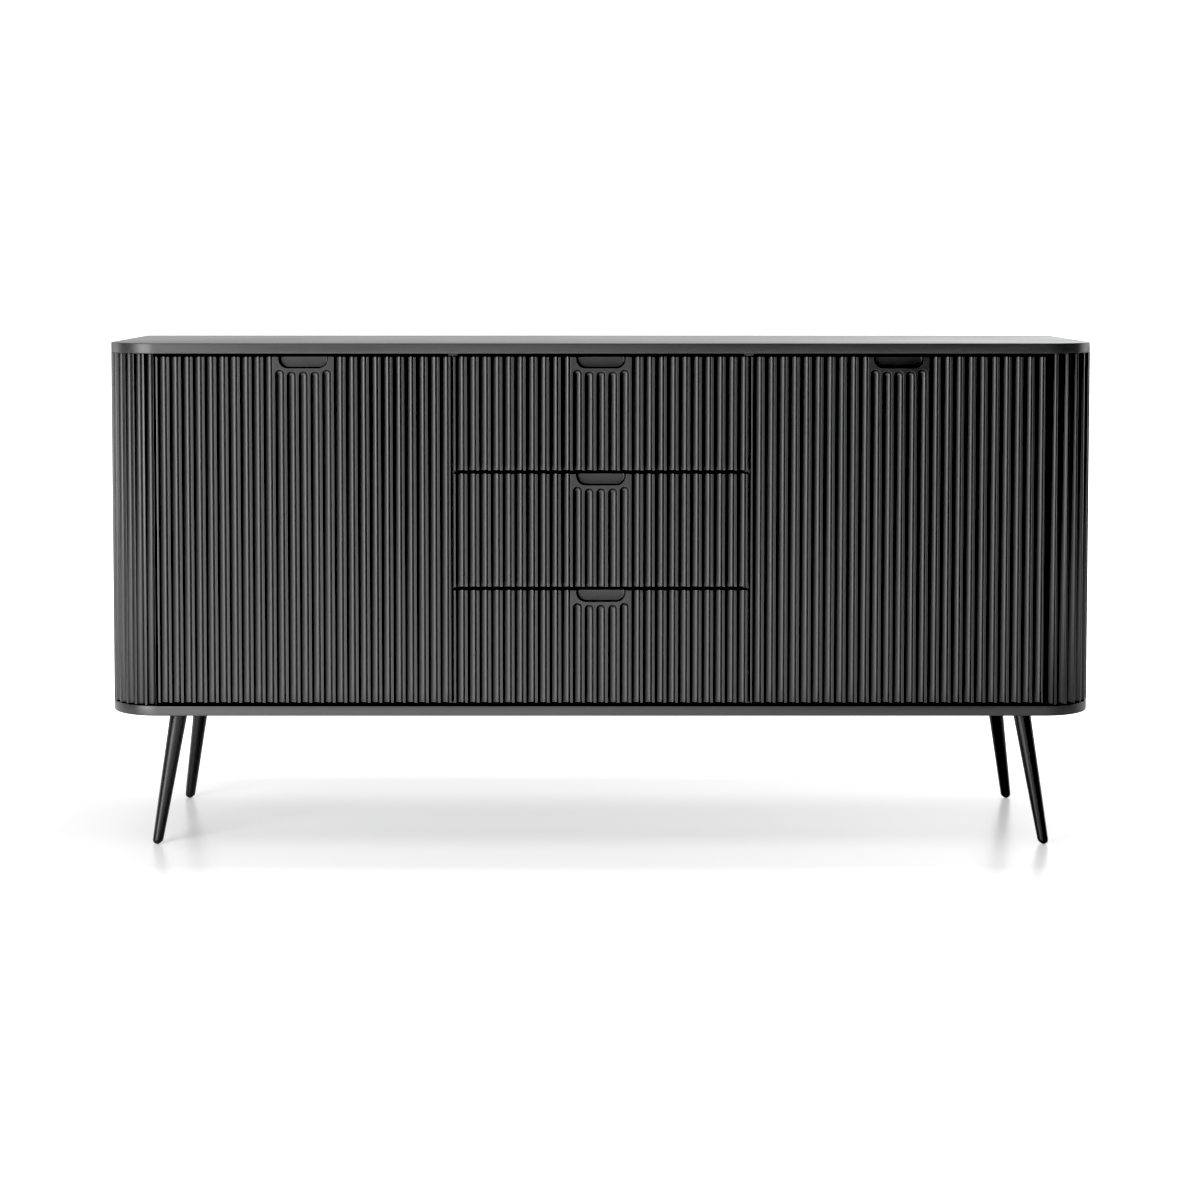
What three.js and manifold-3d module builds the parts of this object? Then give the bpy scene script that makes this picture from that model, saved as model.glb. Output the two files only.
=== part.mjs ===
// Sideboard with fluted fronts and rounded front corners: two doors, three drawers, four splayed legs.
// Millimetres, +Z up. The origin is on the floor under the middle of the case, and the front faces -Y.
// The case is a top and a bottom board with two gables, two dividers and a back between them. A fluted
// skin wraps round each front corner and along the side, outside the gable.
import * as THREE from 'three';
import { mergeVertices } from 'three/addons/utils/BufferGeometryUtils.js';
import Module from 'manifold-3d';

const wasm = await Module();
wasm.setup();

// ---- driving dimensions ----
const WIDTH = 1540;
const DEPTH = 400;
const HEIGHT = 790;
const LEG_HEIGHT = 210;
const BOARD = 16; // top, bottom, gables, dividers and shelves
const BACK_THICKNESS = 5;
const CORNER_RADIUS = 80; // front corners of the top, the bottom and the fluted skins

// fluted fronts
const MODULE = 460; // width of one front and its share of the seams
const SEAM = 3; // upright gaps beside the doors
const REVEAL = 4; // level gaps above, below and between the fronts
const FRONT_THICKNESS = 20;
const FLUTES = 25; // on each front
const FLUTE_PITCH = 18.15;
const GROOVE_WIDTH = 13.3;
const GROOVE_DEPTH = 5.2;
const GROOVE_STEPS = 4; // flat facets round one groove

// fluted skins round the corners and the sides
const SKIN_THICKNESS = 18;
const CORNER_FLUTES = 7;
const SIDE_FLUTES = 18;
const SKIN_SHADOW_GAP = 1; // below each skin

// finger scoop in the top edge of every front
const SCOOP_WIDTH = 76;
const SCOOP_HEIGHT = 18.3;
const SCOOP_DEPTH = 9;
const SCOOP_CORNER = 15;
const SHORT_FLUTES = 5; // flutes that stop below the scoop
const OUTER_ARCH_DROP = 20.6; // from the top edge to the round end of the outer two
const INNER_ARCH_DROP = 23.4; // and of the inner three

// doors
const DOOR_OPENING_DEG = 100;
const CUP_RADIUS = 17.5;
const CUP_DEPTH = 11;
const CUP_WALL = 1;
const CUP_EDGE_DISTANCE = 22.5; // cup centre from the door's hinge edge
const CUP_FLANGE = 1;
const HINGE_END_DISTANCE = 90; // hinge centres from the door's top and bottom edges

// drawers
const DRAWERS = 3;
const BOX_HEIGHT = 120;
const BOX_LIFT = 28; // underside of the box above the lower edge of its front
const BOX_DEPTH = 350;
const BOX_BOARD = 12;
const BOX_BOTTOM = 5;
const BOX_BOTTOM_LIFT = 10;
const BOX_GROOVE_DEPTH = 5;
const RUNNER_SPACE = 13; // beside the box, for one ball runner
const RUNNER_LENGTH = 350;
const RUNNER_HEIGHT = 45;
const RUNNER_INNER_HEIGHT = 28;
const RUNNER_SHEET = 1.5;

// legs
const FOOT_X = 698;
const FOOT_Y = 162.5;
const LEG_SPLAY = 0.152; // run per unit of height, outwards and to the front or back
const LEG_TOP_RADIUS = 14;
const LEG_TIP_RADIUS = 8;
const LEG_SIDES = 20;
const LEG_PLATE = 60;
const LEG_PLATE_THICKNESS = 3;
const GLIDE_RADIUS = 7;
const GLIDE_THICKNESS = 3.5;

const FIT = 0.3; // clearance where two pieces meet on a cut or a slanted face
const PAST = 5; // how far a cutter runs past the faces that it cuts

// ---- places worked out from the driving dimensions ----
const frontY = -DEPTH / 2;
const backY = DEPTH / 2;
const bottomTopZ = LEG_HEIGHT + BOARD;
const topUnderZ = HEIGHT - BOARD;
const boardsBackY = backY - BACK_THICKNESS;
const frontBackY = frontY + FRONT_THICKNESS;
const seamX = 1.5 * MODULE; // middle of the seam between a door and its skin
const dividerX = 0.5 * MODULE;
const gableInnerX = seamX + 2;
const frontWidth = MODULE - SEAM;
const frontBottomZ = bottomTopZ + REVEAL;
const frontTopZ = topUnderZ - REVEAL;
const drawerHeight = (frontTopZ - frontBottomZ - (DRAWERS - 1) * REVEAL) / DRAWERS;
const boxHalfWidth = dividerX - BOARD / 2 - RUNNER_SPACE;
const halfGroove = GROOVE_WIDTH / 2;
const grooveRadius = (halfGroove ** 2 + GROOVE_DEPTH ** 2) / (2 * GROOVE_DEPTH);
const grooveHalfAngle = Math.asin(halfGroove / grooveRadius);

// ---- finishes ----
const finish = (name, color, roughness, metalness) =>
  new THREE.MeshStandardMaterial({ name, color, roughness, metalness });
const finishes = {
  frontLacquer: finish('front_lacquer', 0x1d1d1e, 0.45, 0),
  caseBoard: finish('case_board', 0x232324, 0.5, 0),
  innerBoard: finish('inner_board', 0x1b1b1c, 0.6, 0),
  backBoard: finish('back_board', 0x202021, 0.75, 0),
  legLacquer: finish('leg_lacquer', 0x141415, 0.4, 0),
  steel: finish('zinc_steel', 0xa9adb0, 0.35, 1),
  nylon: finish('nylon', 0x0d0d0e, 0.6, 0),
};

const sideboard = new THREE.Group();
sideboard.name = 'sideboard';

// ---- helpers ----
function add(name, geometry, material, parent = sideboard) {
  const mesh = new THREE.Mesh(geometry, material.clone());
  mesh.name = name;
  parent.add(mesh);
  return mesh;
}

// A board from its lowest corner to its highest.
function board(name, low, high, material) {
  const size = high.map((value, axis) => value - low[axis]);
  const mesh = add(name, new THREE.BoxGeometry(...size), material);
  mesh.position.set(...low.map((value, axis) => value + size[axis] / 2));
  return mesh;
}

// A flat outline in X and Y, made as deep as asked along Z.
function prism(points, depth) {
  return new THREE.ExtrudeGeometry(new THREE.Shape(points), { depth, bevelEnabled: false });
}

function arcPoints(x, y, radius, startAngle, endAngle, steps) {
  const clockwise = endAngle < startAngle;
  return new THREE.ArcCurve(x, y, radius, startAngle, endAngle, clockwise).getPoints(steps);
}

function solid(geometry) {
  const plain = geometry.clone();
  plain.deleteAttribute('normal');
  plain.deleteAttribute('uv');
  const merged = mergeVertices(plain, 1e-4);
  const vertProperties = new Float32Array(merged.attributes.position.array);
  const triVerts = new Uint32Array(merged.index.array);
  return new wasm.Manifold(new wasm.Mesh({ numProp: 3, vertProperties, triVerts }));
}

function geometryOf(manifold) {
  const mesh = manifold.getMesh();
  const geometry = new THREE.BufferGeometry();
  geometry.setAttribute('position', new THREE.BufferAttribute(mesh.vertProperties, 3));
  geometry.setIndex(new THREE.BufferAttribute(mesh.triVerts, 1));
  const facets = geometry.toNonIndexed();
  facets.computeVertexNormals();
  return facets;
}

const blockBetween = (low, high) => {
  const size = high.map((value, axis) => value - low[axis]);
  const middle = low.map((value, axis) => value + size[axis] / 2);
  return new THREE.BoxGeometry(...size).translate(...middle);
};

// One concave groove across the point `at` of an outline, whose outward normal is at `angle`.
// The points run anticlockwise round the outline.
function groove(at, angle) {
  const normal = new THREE.Vector2(Math.cos(angle), Math.sin(angle));
  const along = new THREE.Vector2(-normal.y, normal.x);
  const points = [];
  for (let step = 0; step <= GROOVE_STEPS; step++) {
    const turn = grooveHalfAngle * ((2 * step) / GROOVE_STEPS - 1);
    const depth = grooveRadius * Math.cos(turn) - (grooveRadius - GROOVE_DEPTH);
    points.push(
      at
        .clone()
        .addScaledVector(along, grooveRadius * Math.sin(turn))
        .addScaledVector(normal, -depth),
    );
  }
  return points;
}

// ---- case ----
// Top and bottom have square back corners and round front ones.
function casePanel(name, lowZ) {
  const half = WIDTH / 2;
  const centreX = half - CORNER_RADIUS;
  const centreY = frontY + CORNER_RADIUS;
  const steps = 14;
  const outline = [
    ...arcPoints(-centreX, centreY, CORNER_RADIUS, Math.PI, 1.5 * Math.PI, steps),
    ...arcPoints(centreX, centreY, CORNER_RADIUS, -0.5 * Math.PI, 0, steps),
    new THREE.Vector2(half, backY),
    new THREE.Vector2(-half, backY),
  ];
  add(name, prism(outline, BOARD), finishes.caseBoard).position.z = lowZ;
}

// The skin starts at the door's seam, turns the corner and runs along the side to the back.
function flutedSide(name, side) {
  const half = WIDTH / 2;
  const centre = new THREE.Vector2(half - CORNER_RADIUS, frontY + CORNER_RADIUS);
  const innerRadius = CORNER_RADIUS - SKIN_THICKNESS;
  const seamEdgeX = seamX + SEAM / 2;
  const startAngle = (radius) => -Math.acos((seamEdgeX - centre.x) / radius);
  const outline = arcPoints(centre.x, centre.y, CORNER_RADIUS, startAngle(CORNER_RADIUS), 0, 1).slice(0, 1);
  const chordRadius = Math.sqrt(CORNER_RADIUS ** 2 - halfGroove ** 2); // groove edges lie on the arc
  for (let index = 0; index < CORNER_FLUTES; index++) {
    const angle = ((index + 0.5) / CORNER_FLUTES - 1) * (Math.PI / 2);
    const spot = new THREE.Vector2(Math.cos(angle), Math.sin(angle));
    outline.push(...groove(spot.multiplyScalar(chordRadius).add(centre), angle));
  }
  const sidePitch = (backY - centre.y) / SIDE_FLUTES;
  for (let index = 0; index < SIDE_FLUTES; index++) {
    outline.push(...groove(new THREE.Vector2(half, centre.y + (index + 0.5) * sidePitch), 0));
  }
  outline.push(new THREE.Vector2(half, backY), new THREE.Vector2(half - SKIN_THICKNESS, backY));
  outline.push(...arcPoints(centre.x, centre.y, innerRadius, 0, startAngle(innerRadius), 8));
  const sided = outline.map((point) => new THREE.Vector2(side * point.x, point.y));
  const lowZ = bottomTopZ + SKIN_SHADOW_GAP;
  add(name, prism(sided, topUnderZ - lowZ), finishes.frontLacquer).position.z = lowZ;
}

function caseWork() {
  casePanel('top_panel', topUnderZ);
  casePanel('bottom_panel', LEG_HEIGHT);
  const gableFrontY = frontY + SKIN_THICKNESS + 3;
  const dividerFrontY = frontBackY + 1;
  for (const [word, side] of [['left', -1], ['right', 1]]) {
    flutedSide(`fluted_side_${word}`, side);
    const across = (near, far) => (side < 0 ? [-far, -near] : [near, far]);
    const gable = across(gableInnerX, gableInnerX + BOARD);
    board(
      `gable_${word}`,
      [gable[0], gableFrontY, bottomTopZ],
      [gable[1], boardsBackY, topUnderZ],
      finishes.innerBoard,
    );
    const divider = across(dividerX - BOARD / 2, dividerX + BOARD / 2);
    board(
      `divider_${word}`,
      [divider[0], dividerFrontY, bottomTopZ],
      [divider[1], boardsBackY, topUnderZ],
      finishes.innerBoard,
    );
    const shelfPlay = 1;
    const shelfMiddleZ = (bottomTopZ + topUnderZ) / 2;
    const shelf = across(dividerX + BOARD / 2 + shelfPlay, gableInnerX - shelfPlay);
    board(
      `shelf_${word}`,
      [shelf[0], frontBackY + 5, shelfMiddleZ - BOARD / 2],
      [shelf[1], boardsBackY - shelfPlay, shelfMiddleZ + BOARD / 2],
      finishes.innerBoard,
    );
  }
  const backHalf = WIDTH / 2 - SKIN_THICKNESS - 0.5;
  board(
    'back_panel',
    [-backHalf, boardsBackY, bottomTopZ],
    [backHalf, backY, topUnderZ],
    finishes.backBoard,
  );
}

// ---- fluted fronts ----
// A D-shaped cutter for the finger scoop, with its straight side above the top edge.
function scoopCutter(centreX, topZ) {
  const half = SCOOP_WIDTH / 2;
  const cornerX = half - SCOOP_CORNER;
  const cornerZ = topZ - SCOOP_HEIGHT + SCOOP_CORNER;
  const outline = [
    new THREE.Vector2(-half, topZ + PAST),
    ...arcPoints(-cornerX, cornerZ, SCOOP_CORNER, Math.PI, 1.5 * Math.PI, 4),
    ...arcPoints(cornerX, cornerZ, SCOOP_CORNER, 1.5 * Math.PI, 2 * Math.PI, 4),
    new THREE.Vector2(half, topZ + PAST),
  ];
  const cutter = prism(outline, SCOOP_DEPTH + PAST);
  return cutter.rotateX(Math.PI / 2).translate(centreX, frontY + SCOOP_DEPTH, 0);
}

// A flute cutter with a ball end, open at the bottom edge of the front.
function shortFluteCutter(x, archZ, bottomZ) {
  const ballZ = archZ - halfGroove;
  const lowZ = bottomZ - PAST;
  const cutter = new THREE.CapsuleGeometry(grooveRadius, ballZ - lowZ, 3, 14);
  cutter.rotateX(Math.PI / 2);
  return cutter.translate(x, frontY - (grooveRadius - GROOVE_DEPTH), (ballZ + lowZ) / 2);
}

function flutedFront(name, centreX, lowZ, highZ, bores = []) {
  const half = frontWidth / 2;
  const middle = (FLUTES - 1) / 2;
  const isShort = (index) => Math.abs(index - middle) <= (SHORT_FLUTES - 1) / 2;
  const outline = [new THREE.Vector2(-half, frontY)];
  const shortCutters = [];
  for (let index = 0; index < FLUTES; index++) {
    const x = (index - middle) * FLUTE_PITCH;
    if (isShort(index)) {
      const outer = Math.abs(index - middle) === (SHORT_FLUTES - 1) / 2;
      const archZ = highZ - (outer ? OUTER_ARCH_DROP : INNER_ARCH_DROP);
      shortCutters.push(shortFluteCutter(centreX + x, archZ, lowZ));
    } else {
      outline.push(...groove(new THREE.Vector2(x, frontY), -Math.PI / 2));
    }
  }
  outline.push(new THREE.Vector2(half, frontY));
  outline.push(new THREE.Vector2(half, frontBackY), new THREE.Vector2(-half, frontBackY));
  let front = solid(prism(outline, highZ - lowZ).translate(centreX, 0, lowZ));
  for (const cutter of [...shortCutters, scoopCutter(centreX, highZ), ...bores]) {
    front = front.subtract(solid(cutter));
  }
  add(name, geometryOf(front), finishes.frontLacquer);
}

// ---- doors and their concealed hinges ----
// A blind bore for one hinge cup, in the back of the door.
function cupBore(x, z) {
  const depth = CUP_DEPTH + 1;
  const bore = new THREE.CylinderGeometry(CUP_RADIUS + FIT, CUP_RADIUS + FIT, depth + PAST, 24);
  return bore.translate(x, frontBackY + (PAST - depth) / 2, z);
}

// The cup is open at the back. Its flange lies on the back of the door.
function hingeCup(name, x, z) {
  const inner = CUP_RADIUS - CUP_WALL;
  const profile = [
    [0, -CUP_DEPTH],
    [CUP_RADIUS, -CUP_DEPTH],
    [CUP_RADIUS, CUP_FLANGE],
    [inner, CUP_FLANGE],
    [inner, CUP_WALL - CUP_DEPTH],
    [0, CUP_WALL - CUP_DEPTH],
  ].map(([radius, y]) => new THREE.Vector2(radius, y));
  const cup = solid(new THREE.LatheGeometry(profile, 24).translate(x, frontBackY, z));
  const flangeHalf = [CUP_RADIUS - 2, 30];
  const flange = solid(
    blockBetween(
      [x - flangeHalf[0], frontBackY, z - flangeHalf[1]],
      [x + flangeHalf[0], frontBackY + CUP_FLANGE, z + flangeHalf[1]],
    ),
  );
  const mouth = solid(
    new THREE.CylinderGeometry(inner, inner, CUP_DEPTH, 24).translate(
      x,
      frontBackY + CUP_DEPTH / 2 + CUP_WALL - CUP_DEPTH + PAST,
      z,
    ),
  );
  add(name, geometryOf(cup.add(flange).subtract(mouth)), finishes.steel);
}

// The arm is screwed to the gable by its base plate and is cranked across to the cup.
function hingeArm(name, side, z) {
  const gap = 2.5; // between the arm's end and the back of the door
  const tipY = frontBackY + gap;
  const wallX = gableInnerX;
  const plan = [
    [wallX, tipY + 12],
    [wallX - 8, tipY + 12],
    [wallX - 16, tipY],
    [wallX - 32, tipY],
    [wallX - 32, tipY + 6],
    [wallX - 18, tipY + 20],
    [wallX - 12, tipY + 62],
    [wallX, tipY + 62],
  ].map(([x, y]) => new THREE.Vector2(side * x, y));
  const width = 16;
  const arm = solid(prism(plan, width).translate(0, 0, z - width / 2));
  const wing = solid(
    blockBetween(
      [side < 0 ? -wallX : wallX - 3, tipY + 28, z - 24],
      [side < 0 ? 3 - wallX : wallX, tipY + 48, z + 24],
    ),
  );
  add(name, geometryOf(arm.add(wing)), finishes.steel);
}

function doors() {
  const hingeHeights = {
    lower: frontBottomZ + HINGE_END_DISTANCE,
    upper: frontTopZ - HINGE_END_DISTANCE,
  };
  for (const [word, side] of [['left', -1], ['right', 1]]) {
    const cupX = side * (seamX - SEAM / 2 - CUP_EDGE_DISTANCE);
    const bores = Object.values(hingeHeights).map((z) => cupBore(cupX, z));
    flutedFront(`door_${word}`, side * MODULE, frontBottomZ, frontTopZ, bores);
    for (const [place, z] of Object.entries(hingeHeights)) {
      hingeCup(`hinge_cup_${word}_${place}`, cupX, z);
      hingeArm(`hinge_arm_${word}_${place}`, side, z);
    }
  }
}

// ---- drawers ----
// Channel section of a runner, in X (away from its web) and Z. `height` is over the two lips.
function channel(height, reach) {
  const half = height / 2;
  return [
    [0, -half],
    [reach, -half],
    [reach, RUNNER_SHEET - half],
    [RUNNER_SHEET, RUNNER_SHEET - half],
    [RUNNER_SHEET, half - RUNNER_SHEET],
    [reach, half - RUNNER_SHEET],
    [reach, half],
    [0, half],
  ];
}

// A channel along Y with its web at webX and its lips turned towards `turn`.
function runner(name, height, reach, webX, turn, z, firstY) {
  const outline = channel(height, reach).map(([x, up]) => new THREE.Vector2(turn * x, up));
  const geometry = prism(outline, RUNNER_LENGTH).rotateX(Math.PI / 2);
  add(name, geometry, finishes.steel).position.set(webX, firstY + RUNNER_LENGTH, z);
}

// A box side with the groove that holds the bottom. `turn` is the way its outer face looks.
function boxSide(name, turn, lowZ) {
  const outer = boxHalfWidth;
  const inner = outer - BOX_BOARD;
  const grooveLow = BOX_BOTTOM_LIFT - FIT;
  const grooveHigh = BOX_BOTTOM_LIFT + BOX_BOTTOM + FIT;
  const outline = [
    [outer, 0],
    [outer, BOX_HEIGHT],
    [inner, BOX_HEIGHT],
    [inner, grooveHigh],
    [inner + BOX_GROOVE_DEPTH, grooveHigh],
    [inner + BOX_GROOVE_DEPTH, grooveLow],
    [inner, grooveLow],
    [inner, 0],
  ].map(([x, up]) => new THREE.Vector2(turn * x, up));
  const geometry = prism(outline, BOX_DEPTH).rotateX(Math.PI / 2);
  add(name, geometry, finishes.innerBoard).position.set(0, frontBackY + BOX_DEPTH, lowZ);
}

function drawer(word, lowZ) {
  flutedFront(`drawer_${word}_front`, 0, lowZ, lowZ + drawerHeight);
  const boxZ = lowZ + BOX_LIFT;
  const inner = boxHalfWidth - BOX_BOARD;
  const bottomHalf = inner + BOX_GROOVE_DEPTH - FIT;
  const boxBackY = frontBackY + BOX_DEPTH;
  const bottomZ = boxZ + BOX_BOTTOM_LIFT;
  board(
    `drawer_${word}_bottom`,
    [-bottomHalf, frontBackY, bottomZ],
    [bottomHalf, boxBackY, bottomZ + BOX_BOTTOM],
    finishes.innerBoard,
  );
  board(
    `drawer_${word}_back`,
    [-inner, boxBackY - BOX_BOARD, bottomZ + BOX_BOTTOM + FIT],
    [inner, boxBackY, boxZ + BOX_HEIGHT],
    finishes.innerBoard,
  );
  const runnerZ = boxZ + BOX_HEIGHT / 2;
  const runnerY = frontBackY + 4;
  const outerReach = RUNNER_SPACE - 3;
  const innerReach = RUNNER_SPACE - 5;
  for (const [hand, turn] of [['left', -1], ['right', 1]]) {
    boxSide(`drawer_${word}_side_${hand}`, turn, boxZ);
    const caseX = turn * (dividerX - BOARD / 2);
    runner(`runner_outer_${word}_${hand}`, RUNNER_HEIGHT, outerReach, caseX, -turn, runnerZ, runnerY);
    const boxX = turn * boxHalfWidth;
    runner(`runner_inner_${word}_${hand}`, RUNNER_INNER_HEIGHT, innerReach, boxX, turn, runnerZ, runnerY);
  }
}

function drawers() {
  ['bottom', 'middle', 'top'].forEach((word, index) => {
    drawer(word, frontBottomZ + index * (drawerHeight + REVEAL));
  });
}

// ---- legs ----
// A tapered round leg on a slanted axis, cut level at its plate and at its glide.
function leg(name, sideX, sideY) {
  const axis = new THREE.Vector3(-sideX * LEG_SPLAY, -sideY * LEG_SPLAY, 1);
  const length = axis.length() * LEG_HEIGHT;
  const overrun = 15; // past the level cut at the top
  const topRadius = LEG_TOP_RADIUS + ((LEG_TOP_RADIUS - LEG_TIP_RADIUS) * overrun) / length;
  const profile = [
    [0, -PAST],
    [LEG_TIP_RADIUS - 3, -PAST],
    [LEG_TIP_RADIUS - 1, 5.5],
    [LEG_TIP_RADIUS + 0.2, 9],
    [topRadius, length + overrun],
    [0, length + overrun],
  ].map(([radius, along]) => new THREE.Vector2(radius, along));
  const turned = new THREE.LatheGeometry(profile, LEG_SIDES);
  const upright = new THREE.Vector3(0, 1, 0);
  turned.applyQuaternion(new THREE.Quaternion().setFromUnitVectors(upright, axis.clone().normalize()));
  turned.translate(sideX * FOOT_X, sideY * FOOT_Y, 0);
  const reach = LEG_SPLAY * LEG_HEIGHT + LEG_PLATE;
  const between = blockBetween(
    [sideX * FOOT_X - reach, sideY * FOOT_Y - reach, GLIDE_THICKNESS + FIT],
    [sideX * FOOT_X + reach, sideY * FOOT_Y + reach, LEG_HEIGHT - LEG_PLATE_THICKNESS],
  );
  add(name, geometryOf(solid(turned).intersect(solid(between))), finishes.legLacquer);
}

function legPlate(name, sideX, sideY) {
  const half = LEG_PLATE / 2;
  const corner = 8;
  const straight = half - corner;
  const outline = [
    ...arcPoints(straight, -straight, corner, -0.5 * Math.PI, 0, 4),
    ...arcPoints(straight, straight, corner, 0, 0.5 * Math.PI, 4),
    ...arcPoints(-straight, straight, corner, 0.5 * Math.PI, Math.PI, 4),
    ...arcPoints(-straight, -straight, corner, Math.PI, 1.5 * Math.PI, 4),
  ];
  const inset = LEG_SPLAY * LEG_HEIGHT;
  const place = [sideX * (FOOT_X - inset), sideY * (FOOT_Y - inset), LEG_HEIGHT - LEG_PLATE_THICKNESS];
  add(name, prism(outline, LEG_PLATE_THICKNESS), finishes.steel).position.set(...place);
}

function glide(name, sideX, sideY) {
  const profile = [
    [0, 0],
    [GLIDE_RADIUS - 1, 0],
    [GLIDE_RADIUS, 1],
    [GLIDE_RADIUS, GLIDE_THICKNESS],
    [0, GLIDE_THICKNESS],
  ].map(([radius, up]) => new THREE.Vector2(radius, up));
  const geometry = new THREE.LatheGeometry(profile, LEG_SIDES).rotateX(Math.PI / 2);
  add(name, geometry, finishes.nylon).position.set(sideX * FOOT_X, sideY * FOOT_Y, 0);
}

function legs() {
  for (const [depthWord, sideY] of [['front', -1], ['back', 1]]) {
    for (const [word, sideX] of [['left', -1], ['right', 1]]) {
      leg(`leg_${depthWord}_${word}`, sideX, sideY);
      legPlate(`leg_plate_${depthWord}_${word}`, sideX, sideY);
      glide(`leg_glide_${depthWord}_${word}`, sideX, sideY);
    }
  }
}

caseWork();
doors();
drawers();
legs();

export default sideboard;
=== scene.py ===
"""Looks of the fluted sideboard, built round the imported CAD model. Metres, front faces -Y."""

import math

import bmesh
import bpy
import numpy as np
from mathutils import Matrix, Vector


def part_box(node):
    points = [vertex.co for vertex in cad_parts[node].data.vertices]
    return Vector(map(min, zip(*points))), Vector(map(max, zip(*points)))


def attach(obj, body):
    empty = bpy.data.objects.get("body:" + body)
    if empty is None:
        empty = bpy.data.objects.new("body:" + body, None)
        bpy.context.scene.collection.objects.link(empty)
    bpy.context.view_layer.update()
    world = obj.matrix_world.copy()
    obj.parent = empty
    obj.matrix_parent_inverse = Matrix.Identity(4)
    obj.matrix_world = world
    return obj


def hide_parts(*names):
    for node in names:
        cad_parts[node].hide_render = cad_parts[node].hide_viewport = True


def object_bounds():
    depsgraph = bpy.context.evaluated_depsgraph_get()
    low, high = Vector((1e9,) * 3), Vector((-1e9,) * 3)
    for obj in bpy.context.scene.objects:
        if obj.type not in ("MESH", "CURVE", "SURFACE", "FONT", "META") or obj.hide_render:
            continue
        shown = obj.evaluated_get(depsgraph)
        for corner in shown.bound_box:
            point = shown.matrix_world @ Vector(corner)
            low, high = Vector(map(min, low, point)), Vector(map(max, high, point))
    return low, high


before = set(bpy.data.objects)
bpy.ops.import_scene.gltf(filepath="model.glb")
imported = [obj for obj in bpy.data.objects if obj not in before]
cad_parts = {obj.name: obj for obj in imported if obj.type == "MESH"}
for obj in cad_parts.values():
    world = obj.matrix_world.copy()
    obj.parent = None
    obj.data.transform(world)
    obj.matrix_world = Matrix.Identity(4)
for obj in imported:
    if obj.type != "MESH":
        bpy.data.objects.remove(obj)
cad_low, cad_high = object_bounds()

MM = 0.001

# ---- sizes that the finished surfaces add to the CAD ----
FLUTES = 25
FLUTE_PITCH = 18.15 * MM
GROOVE_WIDTH = 13.3 * MM
GROOVE_DEPTH = 5.2 * MM
GROOVE_EDGE = 1.3 * MM  # rounding of the lacquered arris beside each groove
FRONT_EDGE = 1.0 * MM  # rounding round the rim of each front
SCOOP_WIDTH = 76 * MM
SCOOP_HEIGHT = 18.3 * MM
SCOOP_DEPTH = 9 * MM
SCOOP_CORNER = 15 * MM
SCOOP_EDGE = 0.5 * MM
SCOOP_SIDE_FOOT = 3.4 * MM  # concave foot of the scoop's wall at its sides
SCOOP_LOWER_FOOT = 1.2 * MM  # and along its lower edge
SCOOP_BOW = 1.6 * MM  # how much shallower the scoop's back is at its lower edge
ARCHED_FLUTES = 2  # on each side of the middle flute, ending in an arch below the scoop
OUTER_ARCH_DROP = 20.6 * MM  # from the top edge down to the top of the outermost arches
INNER_ARCH_DROP = 23.4 * MM
CORNER_RADIUS = 80 * MM
CORNER_FLUTES = 7
SIDE_FLUTES = 18
SKIN_THICKNESS = 18 * MM
PANEL_EDGE = 1.2 * MM
LEG_SPLAY = 0.152
LEG_TOP_RADIUS = 14 * MM
LEG_TIP_RADIUS = 8 * MM
WEAR_RADIUS = 1.2 * MM  # how far the wear of an edge reaches
SURFACE_STEP = 0.6 * MM  # spacing of the sampled rows through a scoop
SMALLEST_STEP = 0.12 * MM  # closer rows and columns of a front are merged

# ---- fittings that the photo doesn't show ----
CUP_RADIUS = 17.5 * MM
CUP_LIP = 2.4 * MM  # width of the pressed lip round the mouth of a hinge cup
CUP_EAR = 7.5 * MM  # half the width of the two ears that take its screws
CUP_SCREW_INSET = 5.5 * MM
HINGE_PLATE = 3 * MM  # thickness of the arm's base plate
HINGE_PLATE_BACK = 24 * MM  # from the arm's rear end to the base plate's screws
HINGE_PLATE_REACH = 18 * MM  # from the arm's middle up and down to those screws
SCREW_RADIUS = 3.6 * MM
SCREW_RISE = 1.6 * MM
BACK_RISE = 0.9 * MM  # how far the back panel's screw heads stand out from its face

# ---- camera and picture ----
CAMERA_DISTANCE = 3.7066
CAMERA_HEIGHT = 0.9187
CAMERA_ASIDE = 0.0505
CAMERA_PITCH = 2.957  # degrees below level
CAMERA_LENS = 72.1
CAMERA_SHIFT = (0.0263, -0.18)
BLACK_POINT = 0.0275
PAINTED_SHADOW_GLOW = 0.29  # how brightly the floor right under the object glows to the camera: a painted shadow, dimmer than its glow further out

GROOVE_RADIUS = ((GROOVE_WIDTH / 2) ** 2 + GROOVE_DEPTH**2) / (2 * GROOVE_DEPTH)
GROOVE_AXIS = GROOVE_RADIUS - GROOVE_DEPTH  # how far the groove's axis stands before the face
GROOVE_REACH = math.sqrt((GROOVE_RADIUS + GROOVE_EDGE) ** 2 - (GROOVE_AXIS + GROOVE_EDGE) ** 2)
GROOVE_TANGENT = GROOVE_REACH * GROOVE_RADIUS / (GROOVE_RADIUS + GROOVE_EDGE)


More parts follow.
